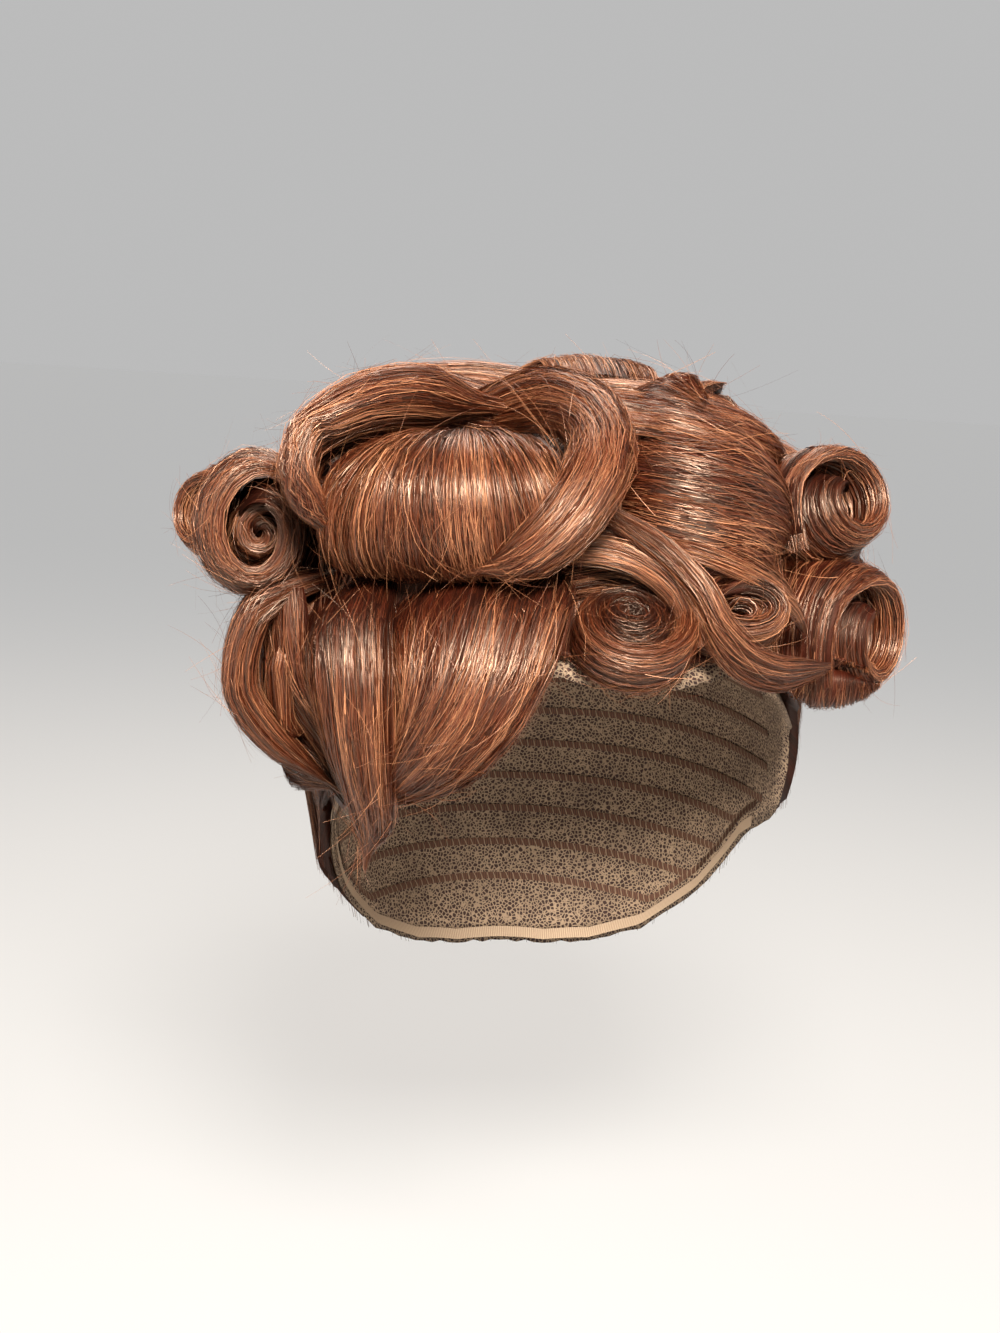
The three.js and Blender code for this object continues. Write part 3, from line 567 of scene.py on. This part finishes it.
# The locks: the numbers of their forms are those of the CAD, and strands says how each is dressed.
# A row of a path is the turn and rise of a spot, its height over the cap, and the lock's width and depth.
rollTurns = {"turns": -1.3, "inner": 0.4, "wall": 0.6, "crown": 0.3}
locks = {
    "roll_loop_left": {"facing": (-22, 18), "crown": 0.2, "ends": (0.5, 0.2), "path": [
        (-66, 71, 0.82, 0.5, 0.8), (-40, 73, 0.88, 0.52, 1), (-19, 68, 0.88, 0.5, 1),
        (-14, 60, 0.84, 0.46, 1.1), (-18, 53, 0.77, 0.44, 1.1), (-23, 49, 0.68, 0.42, 1),
        (-29, 46, 0.61, 0.34, 0.8), (-36, 46, 0.54, 0.2, 0.4)],
        "strands": {"from": -0.22, "to": 1.12, "count": 980, "steps": 14, "inner": 0.2}},
    "front_roll": {"at": (-48, 53, 0.61), "axis": (67, 6), "radius": 1.05, "length": 1.3, "start": 0,
        "turns": 1.3, "inner": 0.42, "wall": 0.6, "crown": 0.3,
        "strands": {"gather": (0.1, 0.2, -0.1, 0.24), "count": 1800, "steps": 17, "inner": 0.12}},
    "roll_loop_right": {"axis": (-13, 10), "ends": (0.5, 0.2), "path": [
        (-64, 69, 0.85, 0.5, 0.9), (-68, 62, 0.96, 0.9, 1.5), (-68, 54, 1.06, 1.1, 1.3),
        (-69, 48, 1.07, 1.1, 0.9), (-67, 44, 1.0, 1, 0.75), (-68, 44, 0.84, 0.8, 0.7),
        (-73, 46, 0.64, 0.5, 0.6)],
        "strands": {"from": -0.22, "count": 1150, "steps": 14, "inner": 0.5}},
    "crown_lock": {"crown": 0.4, "path": [
        (-98, 55, 0.9, 0.7, 0.6), (-95, 59, 1.02, 1, 1), (-92, 65, 0.98, 1.1, 1), (-84, 72, 0.86, 1.1, 0.9),
        (-60, 80, 0.72, 0.9, 0.7)],
        "strands": {"count": 740, "steps": 11, "inner": 0.15}},
    "left_swath": {"axis": (-176, 46), "crown": -1.6, "ends": (0.6, 0.4), "path": [
        (-20, 80, 0.6, 1.4, 0.8), (6, 72, 0.68, 1.8, 1), (24, 66, 0.69, 2.05, 1), (40, 63, 0.68, 2.05, 1),
        (54, 60, 0.62, 1.8, 0.9), (64, 58, 0.5, 1.3, 0.6)],
        "strands": {"from": -0.1, "to": 1.1, "count": 1890, "steps": 11, "inner": 0.15}},
    "pin_curl": {"at": (-4, 48, 0.17), "axis": (-5, 51), "radius": 0.95, "length": 0.28, "start": 25,
        "turns": -1.5, "inner": 0.3, "wall": 0.6, "lead": 1.7,
        "strands": {"count": 740, "steps": 25, "inner": 0.4, "eyeShade": 0.6, "unruly": 0.45}},
    "front_loop": {"at": (28, 48.5, 0.24), "axis": (0, 25), "radius": 0.45, "length": 0.5, "start": 40,
        "turns": 1.1, "inner": 0.5, "wall": 0.6, "squash": 1.5, "lead": 0.3,
        "strands": {"count": 530, "steps": 17, "inner": 0.4, "eyeShade": 0.5, "unruly": 0.4}},
    "left_top_curl": {"at": (72, 54, 0.64), "axis": (22, 20), "radius": 0.92, "length": 0.75, "start": 60,
        **rollTurns,
        "strands": {"count": 700, "steps": 17, "inner": 0.4}},
    "left_lower_curl": {"at": (69, 40, 0.33), "axis": (37, 3), "radius": 1.1, "length": 0.75, "start": 60,
        "squash": 0.85, **rollTurns,
        "strands": {"count": 700, "steps": 17, "inner": 0.4}},
    "left_under_curl": {"at": (62, 34, 0.24), "axis": (72, 0), "radius": 0.42, "length": 0.6, "start": 0,
        "turns": -0.9, "inner": 0.6, "wall": 0.5, "crown": 0.5,
        # painted light: the negative shadow makes these strands lighter all along
        "strands": {"count": 660, "steps": 12, "inner": 0.2, "shadow": (1, 2, -0.15)}},
    "right_side_curl": {"at": (-85, 39.5, 0.88), "axis": (-5, 3), "radius": 1.1, "length": 0.85,
        "start": -50, "turns": 1.3, "inner": 0.45, "wall": 0.65, "crown": 0.3, "squash": 0.82,
        "strands": {"count": 780, "steps": 17, "inner": 0.45}},
    "right_back_curl": {"at": (-104, 38, 0.9), "axis": (-51, 6), "radius": 0.8, "length": 0.7, "start": -50,
        "turns": 1.2, "inner": 0.4, "wall": 0.55, "crown": 0.3,
        "strands": {"count": 370, "steps": 14, "inner": 0.4}},
    "right_temple_loop": {"axis": (-5, 5), "ends": (0.6, 0.2), "path": [
        (-80, 41, 0.52, 0.7, 0.7), (-81, 33, 0.7, 0.9, 0.8), (-82, 27, 0.7, 1, 0.8),
        (-82, 22, 0.65, 1, 0.8), (-81, 19, 0.55, 0.9, 0.8), (-80, 16, 0.39, 0.8, 0.7),
        (-77, 13, 0.18, 0.5, 0.5)],
        "strands": {"from": -0.08, "to": 1.1, "count": 570, "steps": 14, "inner": 0.5}},
    "right_sideburn": {"crown": 0.4, "ends": (0.7, 0.05), "path": [
        (-68, 41, 0.46, 0.8, 0.7), (-64, 34, 0.5, 0.95, 1), (-61, 27, 0.42, 1, 1),
        (-61, 19, 0.27, 0.9, 0.9), (-63, 11, 0.12, 0.6, 0.6), (-66, 3, 0.05, 0.15, 0.3)],
        "strands": {"shadow": (0.1, 0.5, 0.28), "from": -0.24, "to": 1.08, "count": 1070, "steps": 12,
            "inner": 0.12}},
    "right_swoop": {"crown": 0.6, "ends": (0.7, 0.05), "path": [
        (-50, 52, 0.26, 1.8, 0.9), (-46, 42, 0.33, 1.9, 1.1), (-43, 33, 0.31, 1.6, 1.1),
        (-45, 26, 0.25, 1.1, 1), (-51, 20, 0.17, 0.6, 0.7), (-58, 14, 0.12, 0.25, 0.5)],
        "strands": {"shadow": (0.05, 0.42, 0.32), "from": -0.26, "count": 1890, "steps": 11, "inner": 0.12}},
    "top_wave": {"crown": 0.5, "path": [
        (-100, 80, 0.72, 0.9, 0.7), (-140, 87, 0.82, 1.5, 1), (92, 78, 0.84, 1.9, 1.1),
        (100, 67, 0.83, 1.8, 1), (98, 56, 0.8, 1.2, 0.7)],
        "strands": {"count": 820, "steps": 10, "inner": 0.1}},
    "crown_back_lock": {"crown": 0.5, "path": [
        (-112, 52, 0.84, 0.9, 0.7), (-113, 60, 0.98, 1.5, 1), (-124, 70, 0.94, 1.5, 1),
        (-148, 79, 0.86, 1.2, 0.9), (164, 82, 0.72, 0.7, 0.6)],
        "strands": {"count": 740, "steps": 10, "inner": 0.12}},
    "crown_curl": {"at": (164, 72, 0.8), "axis": (90, 0), "radius": 0.9, "length": 0.9, "start": 0,
        **rollTurns,
        "strands": {"count": 530, "steps": 13, "inner": 0.2}},
    "left_back_curl": {"at": (124, 62, 0.92), "axis": (-15, 12), "radius": 0.5, "length": 0.6, "start": 0,
        "turns": 1.1, "inner": 0.4, "wall": 0.45, "lead": 0.25,
        "strands": {"count": 410, "steps": 12, "inner": 0.3, "to": 1}},
    "left_back_lock": {"crown": 0.5, "path": [
        (132, 66, 0.82, 0.9, 0.8), (117, 58, 0.83, 1.4, 1), (104, 52, 0.83, 1.4, 1), (94, 46, 0.78, 1.2, 1),
        (86, 42, 0.64, 0.7, 0.6)],
        "strands": {"count": 570, "steps": 10, "inner": 0.12}},
    "upper_curl_right": {"at": (-140, 58, 0.8), "axis": (130, 0), "radius": 0.95, "length": 1, "start": 0,
        **rollTurns,
        "strands": {"count": 410, "steps": 13, "inner": 0.3}},
    "upper_curl_left": {"at": (166, 57, 0.78), "axis": (76, 0), "radius": 1, "length": 1, "start": 0,
        **rollTurns,
        "strands": {"count": 410, "steps": 13, "inner": 0.3}},
    "left_rear_curl": {"at": (104, 42, 0.46), "axis": (14, 0), "radius": 1, "length": 0.95, "start": 0,
        **rollTurns,
        "strands": {"count": 410, "steps": 13, "inner": 0.3}},
    "back_curl_middle": {"at": (180, 42, 0.7), "axis": (90, 0), "radius": 1.15, "length": 1.25, "start": 0,
        **rollTurns,
        "strands": {"count": 490, "steps": 14, "inner": 0.3}},
    "back_curl_left": {"at": (139, 41, 0.66), "axis": (49, 0), "radius": 1.1, "length": 1.2, "start": 0,
        **rollTurns,
        "strands": {"count": 490, "steps": 14, "inner": 0.3}},
    "back_curl_right": {"at": (-139, 41, 0.7), "axis": (131, 0), "radius": 1.1, "length": 1.2, "start": 0,
        **rollTurns,
        "strands": {"count": 490, "steps": 14, "inner": 0.3}},
}

# The panels at the sides and the nape, combed up from the hairline
panels = {
    "right_side_panel_1": {"turn": -81, "wide": 1, "lifts": (0.07, 0.16, 0.48, 0.68)},
    "right_side_panel_2": {"turn": -106, "wide": 1.2, "lifts": (0.07, 0.14, 0.42, 0.68)},
    "nape_panel_1": {"turn": -130, "wide": 1.3, "lifts": (0.07, 0.13, 0.3, 0.55)},
    "nape_panel_2": {"turn": -155, "wide": 1.3, "lifts": (0.07, 0.13, 0.28, 0.5)},
    "nape_panel_3": {"turn": 180, "wide": 1.3, "lifts": (0.07, 0.13, 0.28, 0.5)},
    "nape_panel_4": {"turn": 155, "wide": 1.3, "lifts": (0.07, 0.13, 0.28, 0.5)},
    "nape_panel_5": {"turn": 130, "wide": 1.3, "lifts": (0.07, 0.13, 0.28, 0.5)},
    "left_side_panel": {"turn": 106, "wide": 1.2, "lifts": (0.07, 0.12, 0.2, 0.35)},
}
panelForm = {"top": 36, "levels": (0, 0.3, 0.65, 1), "depths": (0.4, 0.6, 0.8, 0.8)}
for name, panel in panels.items():
    low = float(edgeRise(panel["turn"])) + 1
    climb = panelForm["top"] - low
    path = [(panel["turn"], low + climb * level, lift, panel["wide"], depth)
            for level, lift, depth in zip(panelForm["levels"], panel["lifts"], panelForm["depths"])]
    locks[name] = {"crown": 0.3, "ends": (0.4, 0.8), "ridge": 0.7, "hem": (panel["turn"], climb),
                   "path": path, "mesh": (48, 16),
                   "strands": {"count": 460, "steps": 8, "inner": 0, "stray": 0.14}}

forms = {}
for name, lock in locks.items():
    buildLock(name, lock)
print("scene: the locks are combed and rolled")

# Strands with no solid of their own in the CAD: they lie over a lock, or fill a gap between two of them
fans = {
    "pin_core": {"at": (-4, 48, 0.19), "axis": (-5, 51), "radius": 0.5, "length": 0.24, "start": 25,
        "turns": -1.6, "inner": 0.12, "wall": 0.6, "lead": 0.2,
        "strands": {"count": 430, "steps": 19, "inner": 0.5, "to": 1, "stray": 0.5, "unruly": 0.7,
            "lift": (-0.5, 2.5), "shadow": (0.9, 1.7, 0.35)}},
    "side_core": {"at": (-85, 39.5, 0.86), "axis": (-5, 3), "radius": 0.42, "length": 0.5, "start": -50,
        "turns": 1.4, "inner": 0.1, "wall": 0.5, "squash": 0.9, "lead": 0.2,
        "strands": {"count": 340, "steps": 16, "inner": 0.5, "to": 1, "stray": 0.25}},
    "loop_core": {"at": (28, 48.5, 0.22), "axis": (0, 25), "radius": 0.25, "length": 0.4, "start": 40,
        "turns": 1.1, "inner": 0.4, "wall": 0.3, "squash": 1.5, "lead": 0.4,
        "strands": {"count": 180, "steps": 14, "inner": 0.5, "to": 1, "stray": 0.3}},
    "roll_fan": {"over": "front_roll",
        "strands": {"count": 900, "steps": 14, "inner": 0, "from": -0.2, "to": 0.42, "lift": (0.2, 1.5),
            "uneven": 0.12, "gather": (0.1, 0.9, -0.2, 0.26), "shadow": (-0.1, 0.12, 0.2)}},
    "hump_fan": {"over": "crown_curl",
        "strands": {"count": 410, "steps": 10, "inner": 0, "from": -0.2, "to": 0.3, "lift": (0.2, 1.3),
            # painted light: the negative shadow makes these strands lighter all along
            "shadow": (1, 2, -0.25)}},
    "temple_sweep": {"path": [
        (-80, 41, 0.5, 0.7, 0.5), (-86, 34, 0.54, 1.2, 0.5), (-87, 27, 0.52, 1.4, 0.5),
        (-86, 21, 0.44, 1.2, 0.5), (-85, 16, 0.3, 0.8, 0.4), (-78, 13, 0.16, 0.5, 0.3)],
        "strands": {"count": 740, "steps": 11, "inner": 0.4}},
    "temple_shade": {"ends": (1, 0.1), "path": [
        (-72, 44, 0.3, 0.9, 0.3), (-75, 36, 0.42, 1.1, 0.3), (-76, 28, 0.38, 1, 0.3),
        (-75, 18, 0.2, 0.7, 0.3), (-73, 11, 0.1, 0.5, 0.3)],
        "strands": {"count": 570, "steps": 10, "inner": 0, "from": -0.3, "stray": 0.2, "unruly": 0.5,
            "shadow": (0.9, 1.7, 0.4)}},
    "pin_wrap": {"path": [
        (-38, 58, 0.28, 0.4, 0.4), (-23, 59, 0.37, 0.6, 0.4), (-9, 58.5, 0.4, 0.6, 0.4),
        (4, 56, 0.37, 0.5, 0.4), (13, 51, 0.3, 0.4, 0.4), (15, 45, 0.22, 0.3, 0.3)],
        "strands": {"count": 660, "steps": 12, "inner": 0.1, "unruly": 0.4}},
    "bowl_fan": {"path": [
        (8, 61, 0.42, 0.5, 0.3), (20, 57, 0.44, 0.6, 0.3), (32, 53, 0.42, 0.6, 0.3),
        (44, 48.5, 0.36, 0.5, 0.3), (53, 43, 0.28, 0.4, 0.3)],
        "strands": {"count": 340, "steps": 12, "inner": 0.1, "unruly": 0.5}},
    "bowl_rim": {"axis": (-5, 60), "ends": (0.5, 0.1), "path": [
        (-9.9, 59.9, 0.52, 0.22, 0.3), (3.9, 55.2, 0.47, 0.24, 0.3), (12.4, 49.0, 0.41, 0.24, 0.3),
        (17.1, 43.8, 0.32, 0.26, 0.3), (24.4, 40.1, 0.24, 0.28, 0.3), (35.9, 37.5, 0.21, 0.3, 0.3),
        (50.4, 35.8, 0.28, 0.3, 0.3)],
        "strands": {"count": 480, "steps": 16, "inner": 0.3, "unruly": 0.5, "stray": 0.2}},
    "top_sweep": {"crown": 0.7, "path": [
        (-60, 77, 0.88, 1.1, 0.3), (-20, 80, 0.88, 1.3, 0.3), (30, 79, 0.85, 1.4, 0.3),
        (66, 69, 0.77, 1.1, 0.3)],
        "strands": {"count": 570, "steps": 10, "inner": 0}},
}
for name, fan in fans.items():
    form = forms[fan["over"]] if "over" in fan else forms.setdefault(name, lockForm(name, fan))
    lockStrands(name, form, fan["strands"], sum(map(ord, name)))


looseHair = {
    "steps": 8,
    "spread": (0.45, 0.14, 0.35),  # how far they turn aside, lean outwards and curve sideways
    "bend": 75,  # the radius in which most of them come back down to the lock
    "foot": 0.8,
    "capClearance": 6.5,
    "width": (0.08, 0.14),
    "thinning": 0.6,
    "tone": (0.22, 0.12),
}


def looseHairs(name, sources, seed):  # single hairs that stand off the locks in short arcs
    rng = np.random.default_rng(seed)
    bundles = []
    for source, count, reach in sources:
        form, t = forms[source], np.linspace(0, 1, looseHair["steps"])[None, :, None]
        s, phi = rng.uniform(0, 1, (count, 1)), rng.uniform(0.1, np.pi - 0.1, (count, 1)) * form["outer"]
        root = onLock(form, s, phi, 0 * s)
        ahead = unit(onLock(form, s + 0.02, phi, 0 * s) - root) * rng.choice([-1, 1], (count, 1, 1))
        normal = unit(onLock(form, s, phi, 1 + 0 * s) - root)
        flat = np.cross(ahead, normal)
        angle, lean, turn = (rng.normal(0, spread, (count, 1, 1)) for spread in looseHair["spread"])
        length = rng.uniform(0.3, 1, (count, 1, 1)) * reach
        bend = -length / looseHair["bend"] * rng.uniform(0.2, 1.0, (count, 1, 1))
        way = unit(ahead * np.cos(angle) + flat * np.sin(angle) + normal * np.abs(lean))
        arc = length * (way * t + (normal * bend + flat * turn) * t * t)
        points = clearOfCap(root + looseHair["foot"] * normal + arc, looseHair["capClearance"])
        # a hair that would reach too far out is drawn shorter
        limit = np.where(points > root, cadBox[1] + wig["flyaway"], cadBox[0] - wig["flyaway"])
        way = np.where(np.abs(points - root) < 0.01, 0.01, points - root)
        points = root + (points - root) * np.clip((limit - root) / way, 0, 1).min(axis=(1, 2), keepdims=True)
        across = unit(np.cross(np.gradient(points, axis=1), rng.normal(0, 1, (count, 1, 3))))
        width = rng.uniform(*looseHair["width"], (count, 1)) * (1 - looseHair["thinning"] * t[..., 0])
        shade = rng.normal(*looseHair["tone"], (count, 1)) + 0 * t[..., 0]
        bundles.append((points, across, width, shade, length[..., 0] * t[..., 0]))
    finishPiece(name, strandMesh(name, bundles), [hairStrand], [])


# Which locks, how many hairs each has, and how long they are at most
hairSources = [
    ("front_roll", 420, 34), ("roll_loop_left", 220, 26), ("roll_loop_right", 220, 24),
    ("crown_lock", 110, 24), ("left_swath", 340, 34), ("pin_curl", 260, 22), ("pin_core", 330, 17),
    ("loop_core", 170, 15), ("side_core", 110, 15), ("front_loop", 220, 22), ("left_top_curl", 140, 22),
    ("left_lower_curl", 140, 22), ("right_side_curl", 220, 24), ("right_back_curl", 60, 16),
    ("right_temple_loop", 120, 24), ("right_sideburn", 200, 24), ("right_swoop", 460, 32),
    ("top_wave", 120, 22), ("crown_back_lock", 80, 20), ("crown_curl", 40, 18), ("left_back_lock", 80, 20),
    ("upper_curl_right", 50, 18), ("upper_curl_left", 50, 18), ("left_rear_curl", 50, 18),
    ("back_curl_middle", 70, 20), ("back_curl_left", 70, 20), ("back_curl_right", 70, 20)]
looseHairs("loose_hairs", hairSources, 5)
print("scene: fans, fillings and loose hairs are laid")


# The combed hair on the cap, under the locks. Its ridges: how many go round, and where each kind starts
underHair = {"around": 120, "rows": 56, "inner": 0.25, "ridge": 0.5,
             "ridges": ((31, 0.3), (53, 1.9), (83, 4.0))}
underStrands = {"count": 2400, "steps": 8, "from": -0.02, "to": 0.9, "uneven": 0.3, "stray": 1.5,
                "width": (0.2, 0.45), "clumps": 0.6}
capSpan = (560, 200)  # round the cap and up over it, for the patterns


def domeHeight(turn, rise):
    return coreHeight(turn, np.maximum(rise, edgeRise(turn)))


def underPlace(turn, level, lift):  # level 0 is the hairline and 1 the crown
    rise = edgeRise(turn) + (90 - edgeRise(turn)) * level
    ridge = 0
    for count, phase in underHair["ridges"]:
        ridge = ridge + np.sin(count * np.radians(turn) + phase + 1.5 * np.sin(5 * level + phase))
    ridge = ridge * underHair["ridge"] * smooth(level * 6) * smooth((1 - level) * 3)
    return overCap(turn, rise, domeHeight(turn, rise) + ridge + lift)


def capPattern(x, y):
    return x * capSpan[0], y * capSpan[1]


def underShell(x, y):  # the first rows are the inner side, going down, and the rest the outer side
    turn = 360 * x - 180
    part = underHair["inner"]
    inside = y < part
    level = np.where(inside, 1 - y / part, (y - part) / (1 - part))
    rise = edgeRise(turn) + (90 - edgeRise(turn)) * level
    inner = overCap(turn, rise, wig["capWall"] + wig["gap"] + 0 * turn)
    return np.where(inside[:, None], inner, underPlace(turn, level, 0 * turn))


mesh = mapGrid("under_hair_shell", underHair["around"], underHair["rows"], underShell, capPattern,
               lambda x, y: -0.05 + 0 * x)
finishPiece("under_hair_shell", mesh, [hairBody], ["under_hair"])
bundle = growStrands(lambda s, phi, lift: underPlace(phi, s, lift), {**strandDefaults, **underStrands},
                     lambda rng, count: rng.uniform(-180, 180, count), 11)
finishPiece("under_hair_strands", strandMesh("under_hair_strands", [bundle]), [hairStrand], [])

laceCap = {"around": 120, "rows": 40, "handCut": 0.35}
marginRise = wig["laceMargin"] * 180 / (np.pi * wig["capDrop"])


def laceShell(x, y):
    turn = 360 * x - 180
    inside = y < 0.5
    level = np.abs(y - 0.5) * 2
    uneven = laceCap["handCut"] * np.sin(np.radians(turn) * 47) * np.sin(np.radians(turn) * 11)
    low = edgeRise(turn) - marginRise + uneven
    height = np.where(inside, 0, wig["capWall"])
    return overCap(turn, low + (90 - low) * level, height)


mesh = mapGrid("lace_cap_net", laceCap["around"], laceCap["rows"], laceShell, capPattern, lambda x, y: 0 * x)
finishPiece("lace_cap_net", mesh, [tulle], ["lace_cap"])

# Inside the cap: rows of sewn wefts over the back and the crown, and a tape along the nape
wefts = {"rises": [-24, -16, -8, 0, 8, 16, 24, 33, 42, 51, 60, 69], "points": 60, "width": 2.6, "inset": 0.45,
         "halfTurn": 82, "widening": 0.4, "sag": 1.5, "overEdge": 2,
         "stitch": 2.6, "stitchReach": 0.55, "stitchWidth": 0.4, "stitchSink": 0.25}
napeTape = {"turns": (100, 260), "points": 90, "width": 4.2, "underEdge": 1.4,
            "insets": (0.35, -1.95)}  # inside and outside the wall


def tapeRow(rises, turns, width, inset):  # rises and turns of the points along one tape
    points = overCap(turns, rises, 0 * turns - inset)
    across = unit(overCap(turns, rises + 1, 0 * turns - inset) - points)
    runs = np.concatenate([[0], np.cumsum(np.linalg.norm(np.diff(points, axis=0), axis=1))])
    ribbon = (points[None], across[None], width + 0 * turns[None], 0 * runs[None], runs[None])
    return points, across, runs, ribbon


tapes, stitches = [], []
for k, rise in enumerate(wefts["rises"]):
    half = wefts["halfTurn"] + max(rise, 0) * wefts["widening"]
    turns = 180 + np.linspace(-1, 1, wefts["points"]) * half
    rises = rise + wefts["sag"] * np.cos(np.radians(turns - 180)) + 0 * turns
    rises = np.maximum(rises, edgeRise(turns) + wefts["overEdge"])
    points, across, runs, ribbon = tapeRow(rises, turns, wefts["width"], wefts["inset"])
    tapes.append(ribbon)
    at = np.arange(2, runs[-1] - 2, wefts["stitch"])
    middle = np.stack([np.interp(at, runs, column) for column in points.T], -1)
    up = np.stack([np.interp(at, runs, column) for column in across.T], -1)
    side = unit(np.cross(up, outward(middle)))
    rng = np.random.default_rng(k)
    slant = rng.uniform(0.2, 0.5, (len(at), 1))
    ends = [middle + (up + side * slant) * wefts["width"] * wefts["stitchReach"] * sign for sign in (-1, 1)]
    inwards = -outward(middle) * wefts["stitchSink"]
    line = np.stack([ends[0], middle + inwards, ends[1]], 1)
    flat = 0 * line[..., 0]
    stitches.append((line, np.repeat(side[:, None], 3, 1), wefts["stitchWidth"] + flat, flat, flat))
finishPiece("weft_tapes", strandMesh("weft_tapes", tapes), [weftTape], [])

turns = np.linspace(*napeTape["turns"], napeTape["points"])
low = edgeRise(turns) - napeTape["underEdge"]
edge = [tapeRow(low, turns, napeTape["width"], inset)[3] for inset in napeTape["insets"]]
finishPiece("edge_tape", strandMesh("edge_tape", edge), [edgeTape], [])
finishPiece("weft_stitches", strandMesh("weft_stitches", stitches), [edgeTape], [])
print("scene: the cap and the hair close to it are made")


# A pale studio: the glow of the floor and the light of the walls meet at the same grey
studio = {"floorHeight": -0.34, "floorSize": 30, "floor": "#8f8e8b", "floorGlow": 0.41, "white": "#ffffff",
          "walls": 0.5, "ceiling": 0.12, "wallTop": 0.2, "ceilingEdge": 0.7}

bm = bmesh.new()
bmesh.ops.create_grid(bm, x_segments=1, y_segments=1, size=studio["floorSize"])
bmesh.ops.translate(bm, verts=bm.verts, vec=(0, 0, studio["floorHeight"]))
mesh = bpy.data.meshes.new("floor")
bm.to_mesh(mesh)
bm.free()
floor = bpy.data.objects.new("floor", mesh)
bpy.context.scene.collection.objects.link(floor)
paint, tree = newMaterial("mattePaintedFloor")  # matt emulsion paint: even, with no gloss
matt = {"Base Color": hexColour(studio["floor"]), "Roughness": 0.9,
        "Emission Color": hexColour(studio["white"]), "Emission Strength": studio["floorGlow"]}
shader = addNode(tree, "ShaderNodeBsdfPrincipled", matt)
addNode(tree, "ShaderNodeOutputMaterial", links={"Surface": shader.outputs[0]})
mesh.materials.append(paint)

world = bpy.data.worlds.new("paleStudio")
bpy.context.scene.world = world
world.use_nodes = True
tree = world.node_tree
backdrop = tree.nodes["Background"]
backdrop.inputs["Color"].default_value = hexColour(studio["white"])
around = addNode(tree, "ShaderNodeTexCoord")
height = addNode(tree, "ShaderNodeSeparateXYZ", links={"Vector": around.outputs["Generated"]})
dimming = {"From Min": studio["wallTop"], "From Max": studio["ceilingEdge"],
           "To Min": studio["walls"], "To Max": studio["ceiling"]}
level = addNode(tree, "ShaderNodeMapRange", dimming, {"Value": height.outputs["Z"]})
tree.links.new(level.outputs[0], backdrop.inputs["Strength"])

# Where each lamp stands as seen from the wig: turn and rise in degrees, distance and size in metres
lamps = {
    "keyLamp": {"turn": -10, "rise": 31, "distance": 1.2, "size": 0.3, "power": 45, "colour": "#fffcf8"},
    "fillLamp": {"turn": 60, "rise": 15, "distance": 1.6, "size": 0.6, "power": 5, "colour": "#fff4ea"},
    "sideLamp": {"turn": -85, "rise": 10, "distance": 1.6, "size": 0.6, "power": 6, "colour": "#fff4ea"},
    "backLamp": {"turn": 165, "rise": 58, "distance": 1.5, "size": 0.8, "power": 24, "colour": "#fff2e6"},
}
bpy.context.scene.view_settings.view_transform = "Standard"
target = np.array([0, 0, -0.02])  # what the lamps point at
for name, lamp in lamps.items():
    way = direction(lamp["turn"], lamp["rise"])
    light = bpy.data.lights.new(name, "AREA")
    light.size = lamp["size"]
    light.energy = lamp["power"]
    light.color = hexColour(lamp["colour"])[:3]
    holder = bpy.data.objects.new(name, light)
    bpy.context.scene.collection.objects.link(holder)
    side = unit(np.cross([0, 0, 1.0], way))
    axes = np.stack([side, np.cross(way, side), way], 1)
    holder.matrix_world = Matrix.Translation(target + way * lamp["distance"]) @ Matrix(axes.tolist()).to_4x4()

# The camera of the photo: in front, a little to the wig's right and above, and tilted by about four degrees
view = {"place": (-0.17826, -0.66012, 0.06657), "right": (0.97443, -0.21491, 0.06555),
        "up": (-0.0314, 0.15861, 0.98684), "back": (-0.22248, -0.96367, 0.14781), "lens": 54.01,
        "sensor": 36}
lens = bpy.data.cameras.new("photoCamera")
lens.lens = view["lens"]
lens.sensor_width = view["sensor"]
camera = bpy.data.objects.new("photoCamera", lens)
bpy.context.scene.collection.objects.link(camera)
axes = np.stack([view["right"], view["up"], view["back"]], 1)
camera.matrix_world = Matrix.Translation(view["place"]) @ Matrix(axes.tolist()).to_4x4()
bpy.context.scene.camera = camera
print("scene: floor, light and camera are set")
